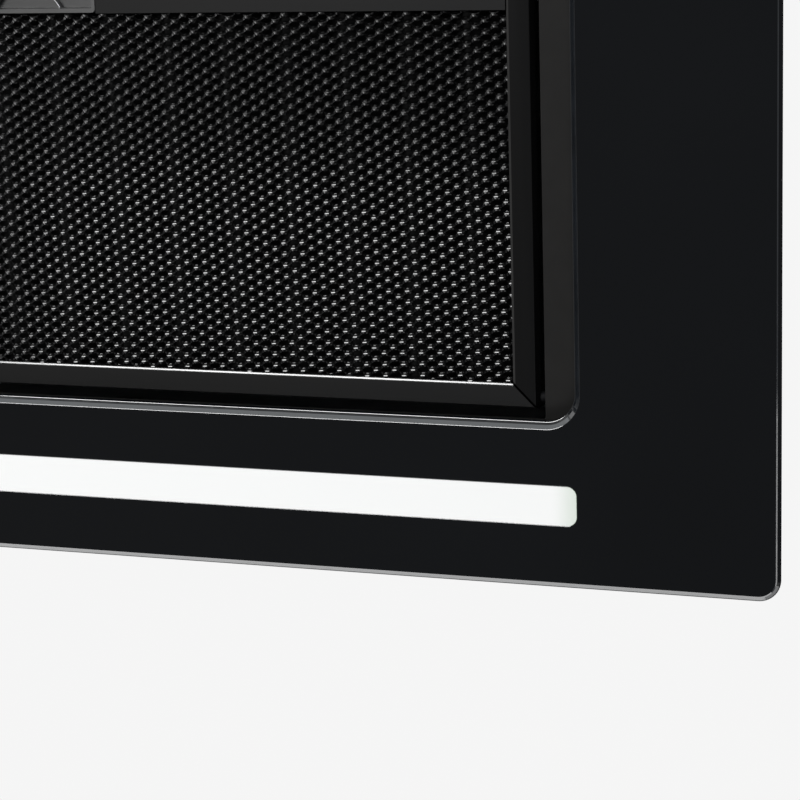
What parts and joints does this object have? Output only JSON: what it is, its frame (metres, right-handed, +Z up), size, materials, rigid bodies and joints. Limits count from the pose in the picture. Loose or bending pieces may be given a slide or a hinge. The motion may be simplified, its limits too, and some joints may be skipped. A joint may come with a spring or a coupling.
{
  "type": "built-in range hood",
  "caption": "Built-in range hood with a bevelled black glass face, recessed mesh grease filter, long light strip, blower casing and round outlet collar.",
  "frame": {"origin": "middle of the cabinet's underside, on the plane where the casing flange bears", "axes": "+Z up, +X to the hood's right, -Y towards the user in front"},
  "size_m": [0.56, 0.3, 0.273],
  "materials": {
    "black_glass": "polished black back-printed toughened glass",
    "adhesive": "matt black adhesive sheet",
    "dark_coated_sheet": "satin dark grey powder coat",
    "galvanised_sheet": "galvanised, faint spangle",
    "screw_steel": "zinc plated",
    "opal_diffuser": "opal white, lit",
    "anodised_channel": "satin anodised",
    "circuit_board": "green solder mask",
    "blower_plastic": "moulded, fine grain",
    "motor_metal": "die cast",
    "bracket_steel": "zinc plated sheet",
    "buffer_rubber": "moulded rubber",
    "collar_plastic": "moulded, fine grain",
    "box_plastic": "light grey moulded",
    "terminal_plastic": "ivory moulded",
    "capacitor_can": "white moulded block",
    "gland_plastic": "black moulded",
    "fan_plastic": "grey moulded",
    "flap_plastic": "moulded",
    "black_coated_aluminium": "satin black coat",
    "gloss_black_mesh": "gloss black coat",
    "core_mesh": "fine expanded layers",
    "latch_plastic": "black moulded",
    "spring_steel": "spring strip"
  },
  "bodies": {
    "hood": {"glass_panel": "black_glass", "glass_bond": "adhesive", "bottom_tray": "dark_coated_sheet", "casing_flange": "galvanised_sheet", "casing_front": "galvanised_sheet", "casing_rear": "galvanised_sheet", "casing_left": "galvanised_sheet", "casing_right": "galvanised_sheet", "casing_top": "galvanised_sheet", "light_diffuser": "opal_diffuser", "led_channel": "anodised_channel", "led_board": "circuit_board", "touch_board": "circuit_board", "scroll_wrap": "blower_plastic", "scroll_side_left": "blower_plastic", "scroll_side_right": "blower_plastic", "motor_housing": "motor_metal", "motor_bracket": "bracket_steel", "motor_buffers": "buffer_rubber", "outlet_collar": "collar_plastic", "flap_rod": "screw_steel", "control_box": "box_plastic", "control_lid": "box_plastic", "control_board": "circuit_board", "terminal_block": "terminal_plastic", "capacitor": "capacitor_can", "led_driver": "box_plastic", "cable_gland": "gland_plastic"},
    "rotor": {"impeller": "fan_plastic", "motor_shaft": "screw_steel", "impeller_nut": "screw_steel"},
    "flap_front": {"flap_front": "flap_plastic"},
    "flap_rear": {"flap_rear": "flap_plastic"},
    "filter": {"rail_left": "black_coated_aluminium", "rail_right": "black_coated_aluminium", "rail_front": "black_coated_aluminium", "rail_rear": "black_coated_aluminium", "latch_bar_left": "black_coated_aluminium", "latch_bar_right": "black_coated_aluminium", "filter_mesh_outer": "gloss_black_mesh", "filter_mesh_core": "core_mesh", "filter_mesh_inner": "gloss_black_mesh", "pivot_pins": "screw_steel", "latch_housing": "latch_plastic", "latch_spring": "spring_steel"},
    "latch": {"latch_slider": "latch_plastic"}
  },
  "joints": [
    {"name": "impeller_spin", "type": "hinge", "parent": "hood", "child": "rotor", "pos_m": [0, -0.04, 0.126], "axis": [1, 0, 0], "continuous": true},
    {"name": "flap_front_swing", "type": "hinge", "parent": "hood", "child": "flap_front", "pos_m": [0, 0.0265, 0.2188], "axis": [-1, 0, 0], "range_deg": [0, 70]},
    {"name": "flap_rear_swing", "type": "hinge", "parent": "hood", "child": "flap_rear", "pos_m": [0, 0.0265, 0.2188], "axis": [1, 0, 0], "range_deg": [0, 70]},
    {"name": "filter_tilt", "type": "hinge", "parent": "hood", "child": "filter", "pos_m": [0, 0.084, 0.0025], "axis": [1, 0, 0], "range_deg": [0, 80]},
    {"name": "latch_slide", "type": "slide", "parent": "filter", "child": "latch", "axis": [0, 1, 0], "range_m": [0, 0.005], "stiffness_N_per_m": 300, "deforming": ["latch_spring"]}
  ]
}
